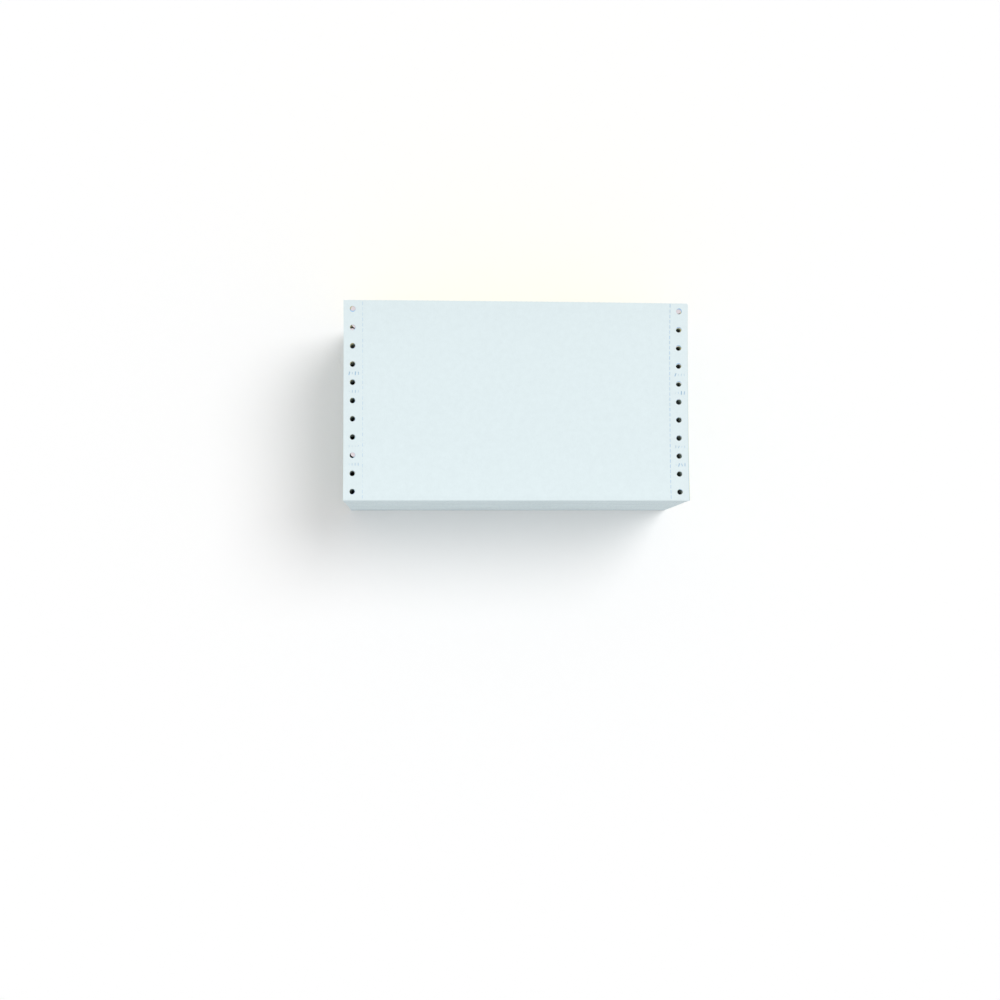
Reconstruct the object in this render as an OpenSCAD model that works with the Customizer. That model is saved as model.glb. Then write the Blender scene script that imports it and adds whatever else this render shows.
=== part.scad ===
// A pile of continuous form paper, fan-folded, with its leading form on top.
// The strip is folded to and fro, so it is one solid: the folds show as noses at the
// front and the rear, and the leading form is hinged at the top front fold with its free edge
// sprung up at the rear. X runs along the folds, Y from front to rear, Z up, and the origin is
// at the middle of the base.

/* [Form] */
// Width of the form, with both pin-feed margins
form_w = 241.3; // [100:0.1:400]
// Length of one form, from fold to fold
form_l = 139.7; // [90:0.1:310]
// Number of plies in one form
ply_count = 5; // [2:1:6]
// Thickness of one ply
ply_t = 0.08; // [0.05:0.005:0.1]

/* [Pile] */
// Height of the pile in its middle, where it is pressed flat
pile_h = 97.2; // [20:0.1:120]
// Depth of the nose at each fold
fold_depth = 0.5; // [0.2:0.05:1.5]
// Rise of the pile at its folded ends over its middle
fold_swell = 2; // [0.5:0.1:5]

/* [Leading form] */
// Height of the free edge over the pile's rear folds
lead_lift = 6; // [2:0.5:20]
// Length at the front fold over which the leading form lies on the pile
lead_flat_l = 10; // [3:0.5:20]

/* [Pin-feed holes] */
// Diameter of a feed hole
hole_d = 4; // [2:0.1:5]
// Distance between neighbouring feed holes
hole_pitch = 12.7; // [8:0.1:16]
// Distance of a row of feed holes from the side edge
hole_inset = 6.35; // [4:0.05:8]

/* [Margin perforation] */
// Distance of the tear-off line from the side edge
perf_inset = 12.7; // [11.5:0.1:20]
// Length of one cut of the tear-off line
perf_cut = 2.36; // [1:0.01:4]
// Length of paper left between two cuts
perf_tie = 1.27; // [0.5:0.01:2]
// Width of a cut
cut_w = 0.25; // [0.1:0.05:0.5]

/* [Crimps] */
// Teeth in one crimp, which hold the plies together
crimp_teeth = 4; // [2:1:5]
// Distance between neighbouring teeth
crimp_pitch = 2.1; // [1:0.1:2.2]
// Length of one tooth
crimp_cut = 1.8; // [1:0.1:3]
// Shift of a crimp from its row of holes towards the right
crimp_shift = 0.8; // [-1:0.1:1]

/* [Hidden] */
// Gaps between feed holes that hold a crimp, counted from the leading edge
crimp_gaps = [4, 5, 8, 9];
// Faces around a feed hole
hole_fn = 32;
// Straight stretches along the leading form and along the top of the pile
sweep_steps = 10;
// Power of the curve that the pile's swell follows towards its ends
swell_power = 4;
// Power of the curve in which the leading form leaves the pile
lift_power = 1.7;
// Length by which a cutter passes the face that it opens
over = 1;
// Share of a pitch that may be missing where a row of holes or cuts just fits the form
count_slack = 0.001;
form_t = ply_count * ply_t;
form_count = round(pile_h / form_t);
end_h = pile_h + fold_swell;
end_pitch = end_h / form_count;
front_noses = floor(form_count / 2);
rear_noses = floor((form_count - 1) / 2);
hole_count = floor(form_l / hole_pitch + count_slack);
hole_first = (form_l - (hole_count - 1) * hole_pitch) / 2;
perf_pitch = perf_cut + perf_tie;
perf_count = floor((form_l - perf_tie) / perf_pitch + count_slack);
perf_first = (form_l - (perf_count - 1) * perf_pitch) / 2;
// Where the leading form parts from the pile, and where the noses begin
crotch = -form_l / 2 + lead_flat_l;
fold_root = form_l / 2 - fold_depth;

// Place along Y of feed hole k, counted from 0 at the free edge
function hole_y(k) = form_l / 2 - hole_first - k * hole_pitch;

// Height of the pile's top under the leading form, at a distance y from the middle
function pile_top(y) =
    (pile_h + fold_swell * pow(abs(2 * y / form_l), swell_power)) * (form_count - 1) / form_count;

// Gap between the pile and the leading form
function lead_gap(y) =
    lead_lift * pow(max(0, y - crotch) / (form_l - lead_flat_l), lift_power);

// Underside of the leading form
function lead_under(y) = pile_top(y) + lead_gap(y);

// One fold nose from its root at z0 to its tip, midway to the next root at z1
function nose(side, z0, z1) = [[side * fold_root, z0], [side * form_l / 2, (z0 + z1) / 2]];

// The rear end of the pile from the floor up
function rear_end() = concat(
    form_count % 2 == 0 ? [[form_l / 2, 0], [form_l / 2, end_pitch]] : [],
    [for (j = [rear_noses - 1:-1:0])
        each nose(1, end_h - (2 * j + 3) * end_pitch, end_h - (2 * j + 1) * end_pitch)]
);

// The front end of the pile from the top down
function front_end() = concat(
    [for (j = [0:front_noses - 1])
        each nose(-1, end_h - 2 * j * end_pitch, end_h - (2 * j + 2) * end_pitch)],
    form_count % 2 == 0
        ? [[-fold_root, 0]]
        : [[-fold_root, end_pitch], [-form_l / 2, end_pitch], [-form_l / 2, 0]]
);

// Places along Y from y0 up to, and without, y1, closer together towards both ends
function along(y0, y1) = [
    for (i = [0:sweep_steps - 1]) (y0 + y1) / 2 - (y1 - y0) / 2 * cos(180 * i / sweep_steps)
];

// Section of the whole strip across the folds
module strip_section() {
    polygon(concat(
        rear_end(),
        [for (y = along(fold_root, crotch)) [y, pile_top(y)]],
        [for (y = along(crotch, form_l / 2)) [y, lead_under(y)]],
        [[form_l / 2, lead_under(form_l / 2)]],
        [for (y = along(form_l / 2, -fold_root)) [y, lead_under(y) + form_t]],
        front_end()
    ));
}

module folded_strip() {
    rotate([90, 0, 90])
        linear_extrude(height = form_w, center = true)
            strip_section();
}

// Feed holes of one margin, straight through every form
module feed_holes(side) {
    for (k = [0:hole_count - 1])
        translate([side * (form_w / 2 - hole_inset), hole_y(k), -over])
            cylinder(d = hole_d, h = end_h + lead_lift + form_t + 2 * over, $fn = hole_fn);
}

// A slit through the leading form only, cut_l long and centred on y
module slit(x, y, cut_l) {
    half_gap = lead_gap(y) / 2;
    translate([x - cut_w / 2, y - cut_l / 2, lead_under(y) - half_gap])
        cube([cut_w, cut_l, half_gap + form_t + over]);
}

// Tear-off line of one margin
module margin_perforation(side) {
    for (k = [0:perf_count - 1])
        slit(side * (form_w / 2 - perf_inset), form_l / 2 - perf_first - k * perf_pitch, perf_cut);
}

// Crimps of one margin, each a short row of teeth between two feed holes
module crimps(side) {
    for (gap = crimp_gaps, k = [0:crimp_teeth - 1])
        if (gap < hole_count)
            slit(side * (form_w / 2 - hole_inset) + crimp_shift + (k - (crimp_teeth - 1) / 2) * crimp_pitch,
                (hole_y(gap - 1) + hole_y(gap)) / 2, crimp_cut);
}

module form_stack() {
    color("#e4f1f4")
        difference() {
            folded_strip();
            for (side = [-1, 1]) {
                feed_holes(side);
                margin_perforation(side);
                crimps(side);
            }
        }
}

form_stack();
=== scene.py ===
"""The looks of a fan-folded pile of five-ply continuous form paper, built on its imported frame.

The pile is one closed skin with a band for every form. The leading form on top is five thin
plies, each a closed sheet with its own feed holes, tear-off cuts and crimps. All lengths are
in metres. X runs along the folds, Y from the front folds to the free edge, Z up.
"""

import math

import bpy
import numpy as np
from mathutils import Matrix, Vector


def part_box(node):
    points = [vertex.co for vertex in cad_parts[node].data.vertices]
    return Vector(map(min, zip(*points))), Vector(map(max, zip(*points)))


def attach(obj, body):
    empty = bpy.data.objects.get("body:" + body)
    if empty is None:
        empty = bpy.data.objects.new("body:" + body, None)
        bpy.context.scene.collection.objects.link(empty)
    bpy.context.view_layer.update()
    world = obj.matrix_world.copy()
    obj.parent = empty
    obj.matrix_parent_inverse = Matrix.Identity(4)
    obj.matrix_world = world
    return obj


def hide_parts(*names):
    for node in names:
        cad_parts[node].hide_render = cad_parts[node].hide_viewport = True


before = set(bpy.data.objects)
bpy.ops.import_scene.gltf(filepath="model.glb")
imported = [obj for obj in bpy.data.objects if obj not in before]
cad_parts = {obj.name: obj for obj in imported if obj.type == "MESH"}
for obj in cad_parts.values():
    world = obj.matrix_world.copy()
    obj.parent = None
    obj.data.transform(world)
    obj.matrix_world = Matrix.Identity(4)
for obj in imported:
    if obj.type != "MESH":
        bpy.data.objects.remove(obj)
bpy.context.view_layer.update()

bl_info = {
    "name": "Continuous form pile",
    "version": (1, 0, 0),
    "blender": (4, 5, 0),
    "location": "3D View > Sidebar > Form Pile",
    "description": "Models a fan-folded pile of five-ply continuous form paper",
    "category": "Add Mesh",
}

NODE = "form_stack"
MM = 0.001
BOX_LOW, BOX_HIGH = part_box(NODE)
FORM_W = BOX_HIGH[0] - BOX_LOW[0]
FORM_L = BOX_HIGH[1] - BOX_LOW[1]
# Points closer than MERGE are one point, and what lies within NEAR of a place lies on it
MERGE = 0.004 * MM
NEAR = 0.01 * MM
# The same for a depth in the pile, which is counted in forms
LAYER_NEAR = 1e-3
# Share of a pitch that may be missing where a row of holes or cuts just fits the form
COUNT_SLACK = 1e-3
# Powers of the curves in which the pile swells at its folds and the leading form leaves it
SWELL_POWER = 4
LIFT_POWER = 1.7
# Columns of faces along the folds and from front to rear, on the pile and on the leading form
PILE_COLUMNS = (40, 20)
SHEET_COLUMNS = (48, 30)
# Rows of one form's edge, as shares of its thickness, and steps around the leading fold
EDGE_ROWS = (0.25, 0.5, 0.25)
FOLD_STEPS = 8
# Faces around a feed hole and around the worn corner
HOLE_SIDES = 32
CORNER_STEPS = 5

# How the forms lie in the pile: the usual step by which they wander from form to form, how far
# they wander in all, how far each usually lies off its neighbour, and its usual turn in radians
DRIFT_STEP = 0.035 * MM
DRIFT_LIMIT = 0.3 * MM
ASIDE = 0.045 * MM
TURN = 0.0005
# Least and greatest depth of the groove between two forms at a cut side
GROOVES = (0.03 * MM, 0.12 * MM)
# How much a fold may lie back from the deepest one, and the waves along each fold
NOSE_SPREAD = 0.16 * MM
NOSE_WAVE = 0.05 * MM
NOSE_WAVE_REACH = 11 * MM

# The leading form's ripple: its height and its pitch along the folds and from front to rear
RIPPLE_ACROSS = (0.22 * MM, 0.17)
RIPPLE_ALONG = (0.10 * MM, 0.11)
# How far each ply hangs below the one above it at the free edge, and the pitch of its sag
DROOP = 0.17 * MM
DROOP_PITCH = 0.13
# Gap between a ply's face and its share of the form's thickness
PLY_CLEAR = 0.003 * MM
# How far each ply stands out past the one above it at the right edge, and back at the free edge
PLY_SPREAD = 0.15 * MM
PLY_BACK = 0.04 * MM

# How ragged the punch left the holes of the top ply and of the lower ones, as a share
RAGGED = (0.012, 0.03)
# How far a hole usually lies off its place, and a lower ply's cuts or a tooth off their line
HOLE_SHAKE = 0.03 * MM
CUT_SHAKE = 0.05 * MM
# How much the cuts of a tear-off line differ in width, as a share, by side
UNEVEN = {-1: 0.7, 1: 0.2}
# How far a lower ply's tear-off cuts may lie off the top ply's, and the cuts along the folds
# off the middle, as shares of the pitch
PERF_SLIDE = 0.35
CROSS_SLIDE = 0.4
# Height of a cutter, in forms
CUTTER_FORMS = 4
# A crimp's tooth opens this share as wide in the lower plies
LOWER_CRIMP = 0.25

# How far each tooth of each crimp opened the top ply, as a share, and its slant in degrees,
# from left to right, by the side of the crimp and the gap it stands in
CRIMP_TEETH = {
    (-1, 4): ((1.0, -16), (0.4, 0), (1.0, -7), (0.7, 0)),
    (-1, 5): ((0.15, 0), (0.5, 0), (0.6, 2), (0.35, -14)),
    (-1, 8): ((0.3, 0), (0.15, 0), (0.2, 0), (0.2, -20)),
    (-1, 9): ((0.2, 0), (0.45, 0), (0.55, 0), (0.6, 0)),
    (1, 4): ((0.9, -22), (0.3, 0), (0.35, -10), (0.3, 0)),
    (1, 5): ((0.15, 0), (0.3, 18), (1.0, 0), (0.8, -9)),
    (1, 8): ((0.6, 0), (0.6, -24), (0.2, 0), (0.35, 0)),
    (1, 9): ((0.25, 0), (0.9, -16), (0.7, 18), (0.8, 0)),
}
# Slip of each lower ply's feed holes to the right and up, in millimetres, by side
SLIPS = {-1: ((-0.20, 0.02), (-0.30, 0.04), (-0.32, 0.05), (-0.34, 0.06)),
         1: ((-0.03, -0.45), (-0.05, -0.80), (-0.06, -0.88), (-0.08, -0.92))}
# The slip at the right fades to this share below the fifth hole
FAR_SLIP = 0.35
# Slips of single holes, by ply, side and number of the hole
OWN_SLIPS = {(1, -1, 0): (0.10, 0.60), (2, -1, 0): (0, 0), (2, -1, 1): (0, 0),
             (3, -1, 1): (-0.35, 0.35), (2, -1, 8): (0, 0),
             (1, 1, 0): (-0.30, -0.45), (2, 1, 0): (0, 0)}
# Chads of the third ply that still hang in their holes, and how far each has moved
CHAD_PLY = 2
CHADS = {(-1, 0): (0.60, -0.10), (-1, 8): (0.70, 0.95), (1, 0): (-0.45, 0.40)}
# One chad is torn in two. The opening between its halves: its middle, and how far it reaches
# at a row of angles in degrees
TORN_CHAD = (-1, 1)
TORN_MIDDLE = (-0.3, 0.1)
TORN_ANGLES = (-180, -150, -120, -90, -60, -40, -27, -12, 10, 45, 75, 100, 120, 150, 180)
TORN_REACH = (1.6, 1.5, 0.9, 0.55, 0.75, 1.6, 2.25, 1.5, 0.75, 0.45, 0.9, 1.5, 1.85, 1.7, 1.6)

# Numbers that start the random draws, to which a ply adds its own
PILE_DRAWS = 12
HOLE_DRAWS = 12
CUT_DRAWS = 32
RIPPLE_DRAWS = 52
DROOP_DRAWS = 62


def length(name, description, millimetres):
    """A length property whose default is given in millimetres."""
    return bpy.props.FloatProperty(name=name, description=description, default=millimetres * MM,
                                   unit="LENGTH", precision=6)


def colour(name, description, default):
    """A colour property, in linear light."""
    return bpy.props.FloatVectorProperty(name=name, description=description, default=default,
                                         subtype="COLOR", size=3, min=0, max=1)


class FormSizes(bpy.types.PropertyGroup):
    """Sizes of the forms and of the pile."""
    ply_count: bpy.props.IntProperty(name="Plies", description="Plies in one form", default=5,
                                     min=2, max=5)
    ply_t: length("Ply thickness", "Thickness of one ply", 0.08)
    pile_h: length("Pile height", "Height of the pile in its middle", 97.2)
    fold_swell: length("Swell", "Rise of the pile at its folded ends", 2)
    fold_depth: length("Fold depth", "Depth of the nose at each fold", 0.5)
    lead_lift: length("Lift", "Height of the free edge over the rear folds", 6)
    lead_flat_l: length("Lying length", "Length of the leading form that lies on the pile", 10)
    lead_crown: length("Crown", "Rise of the free edge's middle over its corners", 1.6)
    hole_d: length("Hole diameter", "Diameter of a feed hole", 4)
    hole_pitch: length("Hole pitch", "Distance between neighbouring feed holes", 12.7)
    hole_inset: length("Hole inset", "Distance of a row of holes from the side edge", 6.35)
    perf_inset: length("Tear-off inset", "Distance of the tear-off line from the side edge", 12.7)
    perf_shift: length("Tear-off shift", "Shift of the left tear-off line towards the right", 0.6)
    perf_cut: length("Tear-off cut", "Length of one cut of the tear-off line", 2.36)
    perf_tie: length("Tear-off tie", "Paper left between two cuts", 1.27)
    perf_gape_left: length("Left gape", "Width of a cut of the left tear-off line", 0.13)
    perf_gape_right: length("Right gape", "Width of a cut of the right tear-off line", 0.32)
    perf_gape_low: length("Lower gape", "Width of a cut in the lower plies and at the fold", 0.07)
    nib: length("Nib", "Length of the fibres left where the ties of the free edge tore", 0.1)
    crimp_pitch: length("Crimp pitch", "Distance between the teeth of a crimp", 2.1)
    crimp_cut: length("Crimp length", "Length of one tooth of a crimp", 1.8)
    crimp_gape: length("Crimp gape", "Widest opening of a tooth of a crimp", 0.65)
    crimp_shift: length("Crimp shift", "Shift of a crimp towards the right of its holes", 0.8)
    corner_r: length("Corner radius", "Radius of the worn right corner of the free edge", 1.5)
    torn_left: length("Torn in at left", "How far in the free edge tore at its left end", 0.3)
    torn_right: length("Torn in at right", "How far in the free edge tore at its right end", 0.9)


class FormColours(bpy.types.PropertyGroup):
    """Colours of the plies, from the top ply to the last."""
    ply_1: colour("Top ply", "White with a faint blue cast", (0.765, 0.869, 0.894))
    ply_2: colour("Second ply", "Pale blue", (0.36, 0.60, 0.86))
    ply_3: colour("Third ply", "White with a faint pink cast", (0.76, 0.69, 0.72))
    ply_4: colour("Fourth ply", "Pale green", (0.50, 0.77, 0.55))
    ply_5: colour("Last ply", "Pale yellow", (0.88, 0.84, 0.56))
    floor: colour("Floor", "Pale studio floor", (1.0, 1.0, 1.0))


def sizes():
    return bpy.context.scene.form_sizes


def ply_colour(number):
    """The colour of a ply, counted from 1 at the top."""
    return tuple(getattr(bpy.context.scene.form_colours, f"ply_{number}"))


def form_t():
    """Thickness of one form."""
    return sizes().ply_count * sizes().ply_t


def form_count():
    """Forms in the pile, with the leading one."""
    return round(sizes().pile_h / form_t())


def pile_height(depth, y):
    """Height in the pile at a depth in forms from the top, at a distance y from its middle."""
    s = sizes()
    top = s.pile_h + s.fold_swell * np.abs(2 * y / FORM_L) ** SWELL_POWER
    return top * (1 - depth / form_count())


def lead_gap(y):
    """Gap between the pile and the leading form."""
    s = sizes()
    free = np.maximum(0, y + FORM_L / 2 - s.lead_flat_l) / (FORM_L - s.lead_flat_l)
    return s.lead_lift * free ** LIFT_POWER


def hole_places():
    """Side, number and centre of every feed hole, counted from the free edge."""
    s = sizes()
    count = int(FORM_L / s.hole_pitch + COUNT_SLACK)
    first = (FORM_L - (count - 1) * s.hole_pitch) / 2
    return [(side, k, side * (FORM_W / 2 - s.hole_inset), FORM_L / 2 - first - k * s.hole_pitch)
            for side in (-1, 1) for k in range(count)]


# Modelling helpers


def deselect():
    if bpy.context.mode != "OBJECT":
        bpy.ops.object.mode_set(mode="OBJECT")
    bpy.ops.object.select_all(action="DESELECT")


def choose(piece, *others):
    """Makes piece active and selects it with the others."""
    deselect()
    for each in (piece, *others):
        each.select_set(True)
    bpy.context.view_layer.objects.active = piece


def edit(piece):
    """Opens piece alone in edit mode."""
    choose(piece)
    bpy.ops.object.mode_set(mode="EDIT")


def select_faces(piece, wanted):
    """In edit mode, selects the faces for which wanted(centre) is true."""
    bpy.ops.mesh.select_all(action="DESELECT")
    bpy.ops.object.mode_set(mode="OBJECT")
    for face in piece.data.polygons:
        face.select = bool(wanted(face.center))
    bpy.ops.object.mode_set(mode="EDIT")


def apply_modifier(piece, kind, **values):
    """Adds a modifier with its settings and applies it."""
    choose(piece)
    modifier = piece.modifiers.new(kind.title(), kind)
    for name, value in values.items():
        setattr(modifier, name, value)
    bpy.ops.object.modifier_apply(modifier=modifier.name)


def cut(piece, cutter):
    """Cuts a closed cutter out of a closed piece and removes the cutter."""
    apply_modifier(piece, "BOOLEAN", operation="DIFFERENCE", solver="EXACT", object=cutter)
    choose(cutter)
    bpy.ops.object.delete()


def points(piece):
    """The places of all of a piece's points, one to a row."""
    co = np.empty(len(piece.data.vertices) * 3, np.float32)
    piece.data.vertices.foreach_get("co", co)
    return co.reshape(-1, 3).astype(float)


def place_points(piece, co):
    """Moves all of a piece's points to the places given."""
    piece.data.vertices.foreach_set("co", co.astype(np.float32).ravel())
    piece.data.update()


def sheet_grid(name, columns, low_y, high_y):
    """A flat grid as wide as the form, from low_y to high_y, at the height of the origin."""
    deselect()
    bpy.ops.mesh.primitive_grid_add(x_subdivisions=columns[0], y_subdivisions=columns[1], size=1)
    piece = bpy.context.object
    piece.name = piece.data.name = name
    piece.location.y = (low_y + high_y) / 2
    piece.scale = (FORM_W, high_y - low_y, 1)
    bpy.ops.object.transform_apply(location=True, rotation=True, scale=True)
    return piece


def finish_piece(piece, smooth_angle):
    """Smooths the shading and hands the piece to the frame."""
    choose(piece)
    bpy.ops.object.shade_smooth_by_angle(angle=math.radians(smooth_angle))
    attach(piece, "root")
    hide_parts(NODE)
    deselect()


def draws(number):
    """Random numbers that are the same each time."""
    return np.random.RandomState(number)


def waves(x, pitch, rng):
    """A smooth random curve along x, about between -1 and 1."""
    total = np.zeros_like(x)
    for k in range(3):
        start = rng.uniform(0, 2 * math.pi)
        total += np.sin(2 * math.pi * x * (1 + 0.8 * k) / pitch + start) / (1 + k)
    return total / 1.8


# Materials


def add_node(tree, kind, inputs=(), **values):
    """A shader node with its settings, and its inputs set or linked by name or number."""
    made = tree.nodes.new(kind)
    for name, value in values.items():
        setattr(made, name, value)
    for name, value in dict(inputs).items():
        if isinstance(value, bpy.types.NodeSocket):
            tree.links.new(value, made.inputs[name])
        else:
            made.inputs[name].default_value = value
    return made


def maths(tree, operation, *values):
    """A sum or another operation on values, each a number or a socket."""
    return add_node(tree, "ShaderNodeMath", enumerate(values), operation=operation).outputs[0]


def mix_colour(tree, share, first, second, blend="MIX"):
    """Two colours mixed by share, each a colour or a socket."""
    made = add_node(tree, "ShaderNodeMix", {"Factor": share}, data_type="RGBA", blend_type=blend)
    # A mix node has its colours at inputs 6 and 7 and at output 2
    for socket, value in ((made.inputs[6], first), (made.inputs[7], second)):
        if isinstance(value, bpy.types.NodeSocket):
            tree.links.new(value, socket)
        else:
            socket.default_value = (*value, 1)
    return made.outputs[2]


def shaded(tree, tint, shade):
    """A colour made lighter or darker by a grey shade."""
    shades = {"Red": shade, "Green": shade, "Blue": shade}
    grey = add_node(tree, "ShaderNodeCombineColor", shades).outputs[0]
    return mix_colour(tree, 1.0, tint, grey, "MULTIPLY")


def ramp_value(tree, value, low, high, to_low, to_high):
    """A value that runs from to_low to to_high as the given one runs from low to high."""
    inputs = {"Value": value, "From Min": low, "From Max": high,
              "To Min": to_low, "To Max": to_high}
    return add_node(tree, "ShaderNodeMapRange", inputs).outputs[0]


def new_material(name, roughness):
    """A dull material, with its node tree and its shader."""
    made = bpy.data.materials.new(name)
    made.use_nodes = True
    shader = made.node_tree.nodes["Principled BSDF"]
    shader.inputs["Roughness"].default_value = roughness
    shader.inputs["Specular IOR Level"].default_value = 0.25
    return made, made.node_tree, shader


def noise(tree, place, scale, detail, stretch=(1, 1, 1)):
    """A noise with about scale features to a metre, and stretch times as many along X, Y or Z."""
    mapping = add_node(tree, "ShaderNodeMapping", {"Vector": place, "Scale": stretch})
    inputs = {"Vector": mapping.outputs[0], "Scale": scale, "Detail": detail}
    return add_node(tree, "ShaderNodeTexNoise", inputs).outputs["Fac"]


def paper_surface(tree, place, base):
    """Cloudiness of the sheet and fine fibres, as a colour and a height."""
    cloud = noise(tree, place, 260, 4)
    fibres = noise(tree, place, 1500, 6, (1, 0.35, 1))
    tone = maths(tree, "ADD", ramp_value(tree, cloud, 0.3, 0.7, 0.985, 1.012),
                 ramp_value(tree, fibres, 0.3, 0.7, -0.012, 0.012))
    return shaded(tree, base, tone), fibres


def bump(tree, shader, height, distance):
    """Turns the shader's normals by a height, at half strength."""
    inputs = {"Height": height, "Distance": distance, "Strength": 0.5}
    made = add_node(tree, "ShaderNodeBump", inputs)
    tree.links.new(made.outputs[0], shader.inputs["Normal"])


def dashes(tree, along, start):
    """1 in the cuts of a perforation and 0 in its ties. start shifts them, in pitches."""
    pitch = sizes().perf_cut + sizes().perf_tie
    place = maths(tree, "ADD", maths(tree, "DIVIDE", along, pitch), start)
    return maths(tree, "LESS_THAN", maths(tree, "FRACT", place), sizes().perf_cut / pitch)


def paper(name, base, torn_lines=False):
    """Matt uncoated copy paper, on covered forms with the tear-off lines drawn as fine dashes of
    painted shade.
    """
    made, tree, shader = new_material(name, 0.85)
    place = add_node(tree, "ShaderNodeTexCoord").outputs["Object"]
    tint, fibres = paper_surface(tree, place, base)
    if torn_lines:
        s = sizes()
        axes = add_node(tree, "ShaderNodeSeparateXYZ", {"Vector": place}).outputs
        line = FORM_W / 2 - s.perf_inset
        from_line = maths(tree, "SUBTRACT", maths(tree, "ABSOLUTE", axes["X"]), line)
        on_line = maths(tree, "LESS_THAN", maths(tree, "ABSOLUTE", from_line), 0.1 * MM)
        in_cut = dashes(tree, axes["Y"], FORM_L / (s.perf_cut + s.perf_tie))
        cut_shade_share = maths(tree, "MULTIPLY", maths(tree, "MULTIPLY", on_line, in_cut), 0.5)
        # The open cuts are painted half dark, as the shade inside the slits
        tint = mix_colour(tree, cut_shade_share, tint, (0.30, 0.30, 0.26))
    tree.links.new(tint, shader.inputs["Base Color"])
    bump(tree, shader, fibres, 0.02 * MM)
    return made


def layer_socket(tree):
    """Depth from the top of the pile, counted in forms."""
    return add_node(tree, "ShaderNodeAttribute", attribute_name="layer").outputs["Fac"]


def ply_ramp(tree, layer):
    """The plies' colours across the forms, which lie face up and face down in turn."""
    across = maths(tree, "PINGPONG", layer, 1.0)
    ramp = add_node(tree, "ShaderNodeValToRGB", {"Fac": across})
    ramp.color_ramp.interpolation = "CONSTANT"
    stops = ramp.color_ramp.elements
    count = sizes().ply_count
    while len(stops) < count:
        stops.new(0.5)
    for k in range(count):
        stops[k].position = k / count
        stops[k].color = (*ply_colour(k + 1), 1)
    return ramp.outputs["Color"]


def cut_edges(name):
    """The cut sides of the pile: a hair line for every ply, and painted shade in the gaps between
    the forms.
    """
    made, tree, shader = new_material(name, 0.9)
    place = add_node(tree, "ShaderNodeTexCoord").outputs["Object"]
    layer = layer_socket(tree)
    # Fibres drag the plies' colours up and down a little where the blade cut them
    drag = ramp_value(tree, noise(tree, place, 900, 3), 0.3, 0.7, -0.05, 0.05)
    plies = ply_ramp(tree, maths(tree, "ADD", layer, drag))
    # Cut fibres are paler than the face of the paper
    pale = mix_colour(tree, 0.30, plies, (0.86, 0.86, 0.84))
    # Painted shade in the gap between two forms, which opens and closes along the pile
    to_gap = maths(tree, "PINGPONG", layer, 0.5)
    width = ramp_value(tree, noise(tree, place, 30, 3, (1, 1, 40)), 0.35, 0.65, 0.02, 0.16)
    gap = maths(tree, "LESS_THAN", to_gap, width)
    streaks = noise(tree, place, 18, 4, (1, 1, 55))
    tone = ramp_value(tree, streaks, 0.3, 0.7, 0.86, 1.04)
    # The streaks' tone, darkened where the shade of the gaps is painted
    shade = maths(tree, "MULTIPLY", tone, ramp_value(tree, gap, 0, 1, 1, 0.72))
    tree.links.new(shaded(tree, pale, shade), shader.inputs["Base Color"])
    bump(tree, shader, streaks, 0.05 * MM)
    return made


def folded_edges(name, ply, root):
    """The folds, in the colour of their outer ply, each with its perforation open on the crest,
    where the ply beneath shows in painted shade.

    root is 0 where the folds begin at even layers and 1 where they begin at odd ones."""
    made, tree, shader = new_material(name, 0.85)
    place = add_node(tree, "ShaderNodeTexCoord").outputs["Object"]
    tint, fibres = paper_surface(tree, place, ply_colour(ply))
    along = add_node(tree, "ShaderNodeSeparateXYZ", {"Vector": place}).outputs["X"]
    fold = maths(tree, "MULTIPLY", maths(tree, "ADD", layer_socket(tree), float(root)), 0.5)
    number = maths(tree, "FLOOR", fold)
    from_crest = maths(tree, "ABSOLUTE", maths(tree, "SUBTRACT", maths(tree, "FRACT", fold), 0.5))
    own = add_node(tree, "ShaderNodeTexWhiteNoise", {"W": number}, noise_dimensions="1D")
    in_cut = dashes(tree, along, own.outputs["Value"])
    on_crest = maths(tree, "LESS_THAN", from_crest, 0.07)
    opened = maths(tree, "MULTIPLY", maths(tree, "MULTIPLY", in_cut, on_crest), 0.55)
    # An open cut shows the ply beneath, darkened by half as painted shade
    shaded_inner_ply = mix_colour(tree, 0.5, ply_colour(2 if ply == 1 else 4), (0.35, 0.36, 0.36))
    # Random streaks, darker and lighter, along the folds
    worn = ramp_value(tree, noise(tree, place, 22, 4, (1, 1, 40)), 0.3, 0.7, 0.90, 1.03)
    body = shaded(tree, tint, worn)
    tree.links.new(mix_colour(tree, opened, body, shaded_inner_ply), shader.inputs["Base Color"])
    bump(tree, shader, fibres, 0.03 * MM)
    return made


# The pile under the leading form


def edge_band(base, thickness):
    """The edge of one form: the outline of the grid drawn up in the rows of its thickness."""
    choose(base)
    bpy.ops.object.duplicate()
    band = bpy.context.object
    edit(band)
    bpy.ops.mesh.select_all(action="SELECT")
    bpy.ops.mesh.region_to_loop()
    for share in EDGE_ROWS:
        up = {"value": (0, 0, share * thickness)}
        bpy.ops.mesh.extrude_edges_move(TRANSFORM_OT_translate=up)
    select_faces(band, lambda centre: centre.z < MERGE)
    bpy.ops.mesh.delete(type="FACE")
    bpy.ops.object.mode_set(mode="OBJECT")
    return band


def well_cutter(height):
    """All feed holes as one cutter, straight through the pile."""
    deselect()
    for number, (_, _, x, y) in enumerate(hole_places()):
        bpy.ops.mesh.primitive_cylinder_add(vertices=HOLE_SIDES, radius=sizes().hole_d / 2,
                                            depth=2 * height, location=(x, y, height / 2))
        if number == 0:
            cutter = bpy.context.object
            bpy.ops.object.transform_apply(location=True, rotation=True, scale=True)
            bpy.ops.object.mode_set(mode="EDIT")
    bpy.ops.object.mode_set(mode="OBJECT")
    return cutter


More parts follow.
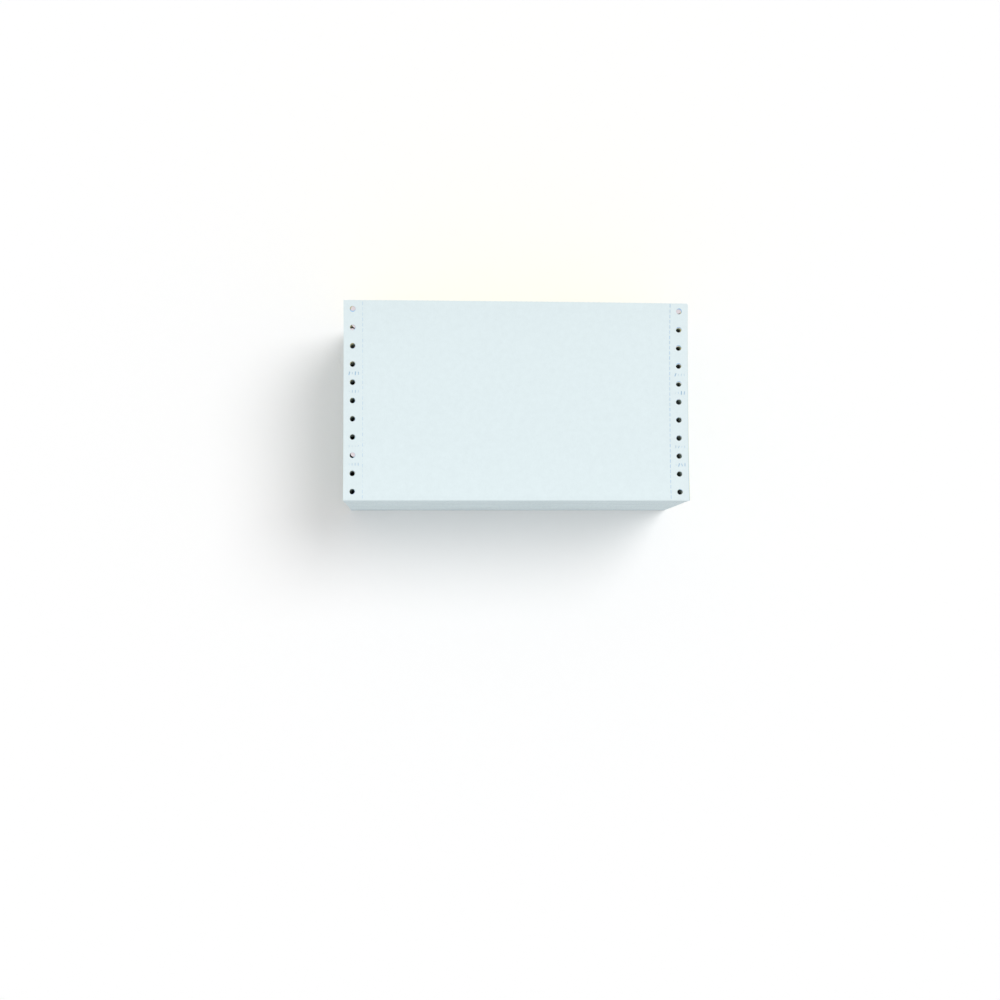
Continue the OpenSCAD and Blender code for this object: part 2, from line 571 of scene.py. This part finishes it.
def fold_inset(layer, root):
    """How far a fold's skin lies inside its crest, for folds that begin at layers of one parity."""
    share = ((layer + root) / 2) % 1
    return sizes().fold_depth * (1 - np.sqrt(np.maximum(0, 1 - (2 * share - 1) ** 2)))


def shape_pile(piece, layer):
    """Gives every form its own place in the pile, and every fold its nose."""
    s = sizes()
    rng = draws(PILE_DRAWS)
    count = form_count()
    co = points(piece)
    x, y = co[:, 0].copy(), co[:, 1].copy()
    front, rear = y < -FORM_L / 2 + NEAR, y > FORM_L / 2 - NEAR
    left, right = x < -FORM_W / 2 + NEAR, x > FORM_W / 2 - NEAR

    def whole(number):
        return np.clip(np.floor(number + LAYER_NEAR), 0, count - 1).astype(int)

    form, fold_front, fold_rear = whole(layer), whole(layer / 2), whole((layer + 1) / 2)

    # The forms wander a little to the side as they were folded, and return at the last one
    drift = np.cumsum(rng.normal(0, DRIFT_STEP, count + 1))
    drift = drift - np.linspace(drift[0], drift[-1], count + 1)
    aside = np.clip(drift, -DRIFT_LIMIT, DRIFT_LIMIT) + rng.normal(0, ASIDE, count + 1)
    turn = rng.normal(0, TURN, count + 1)
    seam = np.round(layer).astype(int)
    groove = rng.uniform(*GROOVES, count + 2)[seam] * (np.abs(layer - seam) < LAYER_NEAR)
    move = aside[form] + turn[form] * y
    co[left, 0] += (groove + move)[left]
    co[right, 0] += (move - groove)[right]

    # The noses at the folds vary in depth from fold to fold and along each fold
    depth_front = rng.uniform(0, NOSE_SPREAD, count + 2)
    depth_rear = rng.uniform(0, NOSE_SPREAD, count + 2)
    phase = rng.uniform(0, 2 * math.pi, (count + 2, 2))
    wave_front = NOSE_WAVE * (1 + np.sin(x / NOSE_WAVE_REACH + phase[fold_front, 0]))
    wave_rear = NOSE_WAVE * (1 + np.sin(x / NOSE_WAVE_REACH + phase[fold_rear, 1]))
    in_front = fold_inset(layer, 0) + depth_front[fold_front] + wave_front
    in_rear = fold_inset(layer, 1) + depth_rear[fold_rear] + wave_rear
    # The leading form's own fold wraps round the front of the form below it
    in_front = np.where(layer < 2 - LAYER_NEAR, s.fold_depth + NEAR, in_front)
    # The last form ends in a cut edge, at the front or the rear
    last = layer > count - 1 + LAYER_NEAR
    ends_front = count % 2 == 1
    in_front = np.where(last & ends_front, groove, in_front)
    in_rear = np.where(last & (not ends_front), groove, in_rear)
    co[front, 1] += in_front[front]
    co[rear, 1] -= in_rear[rear]

    co[:, 2] = pile_height(layer, y)
    place_points(piece, co)


def build_pile():
    """The pile under the leading form, as one closed skin."""
    count = form_count()
    thickness = form_t()
    height = (count - 1) * thickness
    base = sheet_grid("folded_pile", PILE_COLUMNS, -FORM_L / 2, FORM_L / 2)
    # The rows crowd towards the folds, where the pile swells most
    co = points(base)
    co[:, 1] = FORM_L / 2 * np.sin(co[:, 1] / FORM_L * math.pi)
    place_points(base, co)

    band = edge_band(base, thickness)
    apply_modifier(band, "ARRAY", count=count - 1, use_relative_offset=False,
                   use_constant_offset=True, constant_offset_displace=(0, 0, thickness),
                   use_merge_vertices=True, use_merge_vertices_cap=False, merge_threshold=MERGE)
    apply_modifier(base, "SOLIDIFY", thickness=height, offset=1)
    cut(base, well_cutter(height))
    edit(base)
    select_faces(base, lambda c: abs(c.x) > FORM_W / 2 - NEAR or abs(c.y) > FORM_L / 2 - NEAR)
    bpy.ops.mesh.delete(type="FACE")
    choose(base, band)
    bpy.ops.object.join()
    edit(base)
    bpy.ops.mesh.select_all(action="SELECT")
    bpy.ops.mesh.remove_doubles(threshold=MERGE)
    bpy.ops.mesh.normals_make_consistent(inside=False)
    bpy.ops.object.mode_set(mode="OBJECT")

    layer = count - points(base)[:, 2] / thickness
    depths = base.data.attributes.new("layer", "FLOAT", "POINT")
    depths.data.foreach_set("value", layer.astype(np.float32))
    dress_pile(base)
    shape_pile(base, layer)
    finish_piece(base, 40)


def dress_pile(piece):
    """Gives the pile's cut sides, folds, top and base their materials, by place."""
    last = sizes().ply_count
    lowest = 1 if form_count() % 2 == 0 else last
    for made in (cut_edges("cut_edges"),
                 folded_edges("white_folds", 1, 0),
                 folded_edges("yellow_folds", last, 1),
                 paper("last_ply_back", ply_colour(last), True),
                 paper("base_ply", ply_colour(lowest), True)):
        piece.data.materials.append(made)
    sides, front_folds, rear_folds, top, base = range(5)
    last_form = form_t() - MERGE
    ends_front = form_count() % 2 == 1
    for face in piece.data.polygons:
        c, n = face.center, face.normal
        face.material_index = sides
        if abs(c.y) > FORM_L / 2 - NEAR:
            cut_end = c.z < last_form and (c.y < 0) == ends_front
            if not cut_end:
                face.material_index = front_folds if c.y < 0 else rear_folds
        elif abs(n.z) > 0.9:
            face.material_index = top if n.z > 0 else base


# The leading form


def hole_slip(ply, side, number):
    """How far a ply's hole lies off the top ply's: the plies slipped on each other."""
    if ply == 0:
        return np.zeros(2)
    if (ply, side, number) in OWN_SLIPS:
        return np.array(OWN_SLIPS[ply, side, number]) * MM
    share = FAR_SLIP if side > 0 and number > 4 else 1
    return np.array(SLIPS[side][ply - 1]) * MM * share


def add_cutter(tall, place, widths, turn=0.0, round_sides=0):
    """Adds an upright box or oval to the cutter in edit mode."""
    more = {"location": (*place, 0), "rotation": (0, 0, turn)}
    if round_sides:
        bpy.ops.mesh.primitive_cylinder_add(vertices=round_sides, radius=0.5, depth=tall,
                                            scale=(*widths, 1), **more)
    else:
        bpy.ops.mesh.primitive_cube_add(size=1, scale=(*widths, tall), **more)


def free_edge(x):
    """Place of the free edge, which tore a little askew."""
    s = sizes()
    return FORM_L / 2 - s.torn_left - (s.torn_right - s.torn_left) * (0.5 + x / FORM_W)


def hole_rim(rim, ply, place, phase):
    """The outline of one feed hole about its centre, shaped from a round rim."""
    angle = np.arctan2(rim[:, 1], rim[:, 0])
    if ply == CHAD_PLY and place in CHADS:
        # The chad has moved, so the opening is the crescent behind it
        moved = np.array(CHADS[place]) * MM
        away = np.linalg.norm(moved)
        past = np.maximum(0, rim @ (moved / away) - away / 2)
        return rim - 2 * past[:, None] * moved / away
    if ply == CHAD_PLY and place == TORN_CHAD:
        reach = np.interp(np.degrees(angle), TORN_ANGLES, TORN_REACH)[:, None] * MM
        return np.stack((np.cos(angle), np.sin(angle)), 1) * reach + np.array(TORN_MIDDLE) * MM
    ragged = RAGGED[min(ply, 1)]
    wave = np.sin(3 * angle + phase[0]) + np.sin(7 * angle + phase[1]) / 2
    return rim * (1 + ragged * wave)[:, None]


def punch_holes(ply, tall):
    """The feed holes of one ply as a new cutter, each as ragged as the punch left it."""
    s = sizes()
    rng = draws(HOLE_DRAWS + ply)
    deselect()
    # A cube opens the new object, and its points are deleted before the holes are added
    bpy.ops.mesh.primitive_cube_add(size=s.ply_t, location=(0, -FORM_L, 0))
    cutter = bpy.context.object
    bpy.ops.object.transform_apply(location=True, rotation=True, scale=True)
    bpy.ops.object.mode_set(mode="EDIT")
    bpy.ops.mesh.select_all(action="SELECT")
    bpy.ops.mesh.delete(type="VERT")
    centres = []
    for side, number, x, y in hole_places():
        shake = rng.normal(0, HOLE_SHAKE, 2)
        centres.append(np.array((x, y)) + hole_slip(ply, side, number) + shake)
        add_cutter(tall, centres[-1], (s.hole_d, s.hole_d), round_sides=HOLE_SIDES)
    bpy.ops.object.mode_set(mode="OBJECT")
    co = points(cutter)
    for k, (side, number, _, _) in enumerate(hole_places()):
        ring = slice(2 * HOLE_SIDES * k, 2 * HOLE_SIDES * (k + 1))
        phase = rng.uniform(0, 2 * math.pi, 2)
        rim = hole_rim(co[ring, :2] - centres[k], ply, (side, number), phase)
        co[ring, :2] = rim + centres[k]
    place_points(cutter, co)
    edit(cutter)
    return cutter


def ply_cutter(ply, fold_crest):
    """Feed holes, perforations and crimps of one ply as one cutter. Ply 0 is the top one."""
    s = sizes()
    rng = draws(CUT_DRAWS + ply)
    tall = CUTTER_FORMS * form_t()
    cutter = punch_holes(ply, tall)
    pitch = s.perf_cut + s.perf_tie

    count = int((FORM_L - s.perf_tie) / pitch + COUNT_SLACK)
    slide = 0 if ply == 0 else rng.uniform(-PERF_SLIDE, PERF_SLIDE) * pitch
    for side, gape in ((-1, s.perf_gape_left), (1, s.perf_gape_right)):
        x = side * (FORM_W / 2 - s.perf_inset) + (0 if ply == 0 else rng.normal(0, CUT_SHAKE))
        x += s.perf_shift if side < 0 else 0
        narrowest, widest = gape * (1 - UNEVEN[side]), gape * (1 + UNEVEN[side])
        for k in range(count):
            wide = rng.uniform(narrowest, widest) if ply == 0 else s.perf_gape_low
            add_cutter(tall, (x, ((count - 1) / 2 - k) * pitch + slide), (wide, s.perf_cut))

    # The cross perforation: still whole at the leading fold, torn at the free edge
    across = int((FORM_W - s.perf_tie) / pitch + COUNT_SLACK)
    slide = rng.uniform(-CROSS_SLIDE, CROSS_SLIDE) * pitch
    for k in range(across):
        x = (k - (across - 1) / 2) * pitch + slide
        if ply < 2:
            add_cutter(tall, (x, fold_crest), (s.perf_cut, 2 * s.perf_gape_low))
        add_cutter(tall, (x, free_edge(x)), (s.perf_cut, 2 * s.nib * rng.uniform(0.7, 1.3)))

    for (side, gap), teeth in CRIMP_TEETH.items():
        first = side * (FORM_W / 2 - s.hole_inset) + s.crimp_shift
        first -= (len(teeth) - 1) / 2 * s.crimp_pitch
        y = FORM_L / 2 - s.hole_pitch * gap
        for k, (opening, slant) in enumerate(teeth):
            # A wide-open tooth pushed a longer flap out, and the lower plies opened less
            wide = s.crimp_gape * opening * (1 if ply == 0 else LOWER_CRIMP)
            long = s.crimp_cut * (0.6 + 0.8 * opening)
            place = (first + k * s.crimp_pitch, y + rng.normal(0, CUT_SHAKE))
            add_cutter(tall, place, (wide, long), math.radians(slant))
    bpy.ops.object.mode_set(mode="OBJECT")
    return cutter


def lay_ply(piece, ply, fold_y, wrap):
    """Bends a flat ply round the leading fold and lays it on the pile, its free edge sprung up."""
    s = sizes()
    co = points(piece)
    x, flat_y, over = co[:, 0].copy(), co[:, 1].copy(), co[:, 2].copy()
    y = np.maximum(flat_y, fold_y)
    run = (y + FORM_L / 2) / FORM_L
    across = 2 * x / FORM_W
    crown = s.lead_crown * run ** 2 * (0.5 - across ** 2)
    # All plies share one ripple
    steady = draws(RIPPLE_DRAWS)
    (high_x, pitch_x), (high_y, pitch_y) = RIPPLE_ACROSS, RIPPLE_ALONG
    ripple = high_x * run ** 2 * waves(x, pitch_x, steady)
    ripple += high_y * run * waves(y, pitch_y, steady)
    # Each ply hangs a little below the one above, most in the middle of the free edge
    loose = 0.4 + 0.6 * np.cos(math.pi * across / 2) ** 2
    sag = 1 + 0.5 * waves(x, DROOP_PITCH, draws(DROOP_DRAWS + ply))
    droop = ply * DROOP * run ** 5 * loose * sag
    z = pile_height(1, y) + lead_gap(y) + over + crown + ripple - droop

    centre_z = pile_height(1, np.full_like(y, fold_y))
    angle = math.pi * np.clip((fold_y - flat_y) / wrap, 0, 1)
    stretch = s.fold_depth / form_t()
    wrapped = flat_y < fold_y
    co[:, 1] = np.where(wrapped, fold_y - over * stretch * np.sin(angle), y)
    co[:, 2] = np.where(wrapped, centre_z + over * np.cos(angle), z)
    place_points(piece, co)


def build_ply(ply):
    """One ply of the leading form, counted from 0 at the top."""
    s = sizes()
    name = ("white", "blue", "pink", "green", "yellow")[ply]
    fold_y = -FORM_L / 2 + s.fold_depth
    wrap = math.pi * form_t()
    piece = sheet_grid(f"leading_form_{name}_ply", SHEET_COLUMNS, fold_y - wrap, FORM_L / 2)
    edit(piece)
    for step in range(FOLD_STEPS):
        bpy.ops.mesh.select_all(action="SELECT")
        bpy.ops.mesh.bisect(plane_co=(0, fold_y - wrap * step / FOLD_STEPS, 0), plane_no=(0, 1, 0))
    bpy.ops.object.mode_set(mode="OBJECT")
    co = points(piece)
    at_free_edge = co[:, 1] > co[:, 1].max() - NEAR
    co[:, 1] = np.where(at_free_edge, free_edge(co[:, 0]) - PLY_BACK * ply, co[:, 1])
    # The lower plies peep out at the right edge, more so towards the fold
    to_fold = 0.5 - co[:, 1] / FORM_L
    co[:, 0] += PLY_SPREAD * ply * (0.5 + co[:, 0] / FORM_W) * (0.15 + 0.85 * to_fold)
    co[:, 2] = (s.ply_count - 1 - ply) * s.ply_t + PLY_CLEAR
    place_points(piece, co)
    apply_modifier(piece, "SOLIDIFY", thickness=s.ply_t - 2 * PLY_CLEAR, offset=1)
    round_corner(piece)
    cut(piece, ply_cutter(ply, fold_y - wrap / 2))
    lay_ply(piece, ply, fold_y, wrap)
    piece.data.materials.clear()
    piece.data.materials.append(paper(f"{name}_ply", ply_colour(ply + 1)))
    finish_piece(piece, 30)


def round_corner(piece):
    """Rounds the worn right corner of the free edge."""
    edit(piece)
    bpy.ops.mesh.select_all(action="DESELECT")
    bpy.ops.object.mode_set(mode="OBJECT")
    co = points(piece)
    reach = co[:, 0] + co[:, 1]
    corner = reach > reach.max() - NEAR
    for edge in piece.data.edges:
        edge.select = bool(corner[edge.vertices[0]] and corner[edge.vertices[1]])
    edit(piece)
    bpy.ops.mesh.select_mode(type="EDGE")
    bpy.ops.mesh.bevel(offset=sizes().corner_r, segments=CORNER_STEPS, affect="EDGES")
    bpy.ops.mesh.select_mode(type="FACE")
    bpy.ops.object.mode_set(mode="OBJECT")


# The stage

# Where the photograph's camera stands to the form, and how far it rolls
CAMERA_PLACE = (-0.0614, -0.1391, 1.0346)
CAMERA_AIM = (-0.0120, -0.0693, 0.0988)
CAMERA_ROLL = math.radians(-0.203)
LENS = 48.67
SENSOR = 36
FLOOR_SPAN = 6.0
# Gap under the pile, so that its base and the floor don't share a plane
FLOOR_GAP = 0.05 * MM
# The light comes from the rear right and is as soft as a large window
SKY_STRENGTH = 0.68
SUN_STRENGTH = 1.23
SUN_PLACE = (0.8, 0.6, 1.6)
SUN_TURN = (math.radians(35), 0, math.radians(125))
SUN_ANGLE = math.radians(34)


def build_floor():
    """A wide pale floor, which belongs to the stage and not to the part."""
    deselect()
    bpy.ops.mesh.primitive_plane_add(size=FLOOR_SPAN, location=(0, 0, -FLOOR_GAP))
    floor = bpy.context.object
    floor.name = "floor"
    bpy.ops.object.transform_apply(location=True, rotation=True, scale=True)
    made, tree, shader = new_material("studio_floor", 0.95)
    shader.inputs["Base Color"].default_value = (*bpy.context.scene.form_colours.floor, 1)
    floor.data.materials.append(made)


def build_light():
    """A soft sun, and an even sky that the camera sees as white and that lights the pile less."""
    deselect()
    bpy.ops.object.light_add(type="SUN", location=SUN_PLACE, rotation=SUN_TURN)
    sun = bpy.context.object
    sun.name = "key_light"
    sun.data.energy = SUN_STRENGTH
    sun.data.angle = SUN_ANGLE
    world = bpy.data.worlds.new("white_studio")
    bpy.context.scene.world = world
    world.use_nodes = True
    tree = world.node_tree
    sky = tree.nodes["Background"]
    rays = add_node(tree, "ShaderNodeLightPath")
    seen = maths(tree, "MAXIMUM", rays.outputs["Is Camera Ray"], rays.outputs["Is Glossy Ray"])
    seen = maths(tree, "MAXIMUM", seen, rays.outputs["Is Transmission Ray"])
    tree.links.new(ramp_value(tree, seen, 0, 1, SKY_STRENGTH, 1), sky.inputs["Strength"])
    sky.inputs["Color"].default_value = (1, 1, 1, 1)


def build_camera():
    """The camera, which looks down on the pile with +Y up in its picture."""
    deselect()
    bpy.ops.object.camera_add(location=CAMERA_PLACE)
    camera = bpy.context.object
    look = (Vector(CAMERA_AIM) - Vector(CAMERA_PLACE)).normalized()
    right = look.cross(Vector((0, 1, 0))).normalized()
    camera.rotation_euler = Matrix((right, right.cross(look), -look)).transposed().to_euler()
    camera.rotation_euler.rotate_axis("Z", CAMERA_ROLL)
    camera.data.lens = LENS
    camera.data.sensor_width = SENSOR
    camera.data.clip_start = 0.01
    bpy.context.scene.camera = camera
    bpy.context.scene.view_settings.view_transform = "Standard"


# Operators and panel


class FORM_PILE_OT_folded_pile(bpy.types.Operator):
    """Model the folded pile under the leading form"""
    bl_idname = "form_pile.folded_pile"
    bl_label = "Folded Pile"
    bl_options = {"REGISTER", "UNDO"}

    def execute(self, context):
        build_pile()
        return {"FINISHED"}


class FORM_PILE_OT_leading_form(bpy.types.Operator):
    """Model the plies of the leading form on top of the pile"""
    bl_idname = "form_pile.leading_form"
    bl_label = "Leading Form"
    bl_options = {"REGISTER", "UNDO"}

    def execute(self, context):
        for ply in range(sizes().ply_count):
            build_ply(ply)
        return {"FINISHED"}


class FORM_PILE_OT_stage(bpy.types.Operator):
    """Set up the pale floor, the soft light and the camera"""
    bl_idname = "form_pile.stage"
    bl_label = "Stage"
    bl_options = {"REGISTER", "UNDO"}

    def execute(self, context):
        build_floor()
        build_light()
        build_camera()
        return {"FINISHED"}


class FORM_PILE_PT_panel(bpy.types.Panel):
    """Sizes, colours and steps of the form pile"""
    bl_idname = "FORM_PILE_PT_panel"
    bl_label = "Form Pile"
    bl_space_type = "VIEW_3D"
    bl_region_type = "UI"
    bl_category = "Form Pile"

    def draw(self, context):
        layout = self.layout
        for step in OPERATORS:
            layout.operator(step.bl_idname)
        for group in (context.scene.form_sizes, context.scene.form_colours):
            box = layout.box()
            for name in group.__annotations__:
                box.prop(group, name)


OPERATORS = (FORM_PILE_OT_folded_pile, FORM_PILE_OT_leading_form, FORM_PILE_OT_stage)
CLASSES = (FormSizes, FormColours, *OPERATORS, FORM_PILE_PT_panel)


def register():
    for each in CLASSES:
        bpy.utils.register_class(each)
    bpy.types.Scene.form_sizes = bpy.props.PointerProperty(type=FormSizes)
    bpy.types.Scene.form_colours = bpy.props.PointerProperty(type=FormColours)


def unregister():
    del bpy.types.Scene.form_sizes
    del bpy.types.Scene.form_colours
    for each in reversed(CLASSES):
        bpy.utils.unregister_class(each)


def main():
    register()
    bpy.ops.form_pile.folded_pile()
    bpy.ops.form_pile.leading_form()
    bpy.ops.form_pile.stage()


if __name__ == "__main__":
    main()
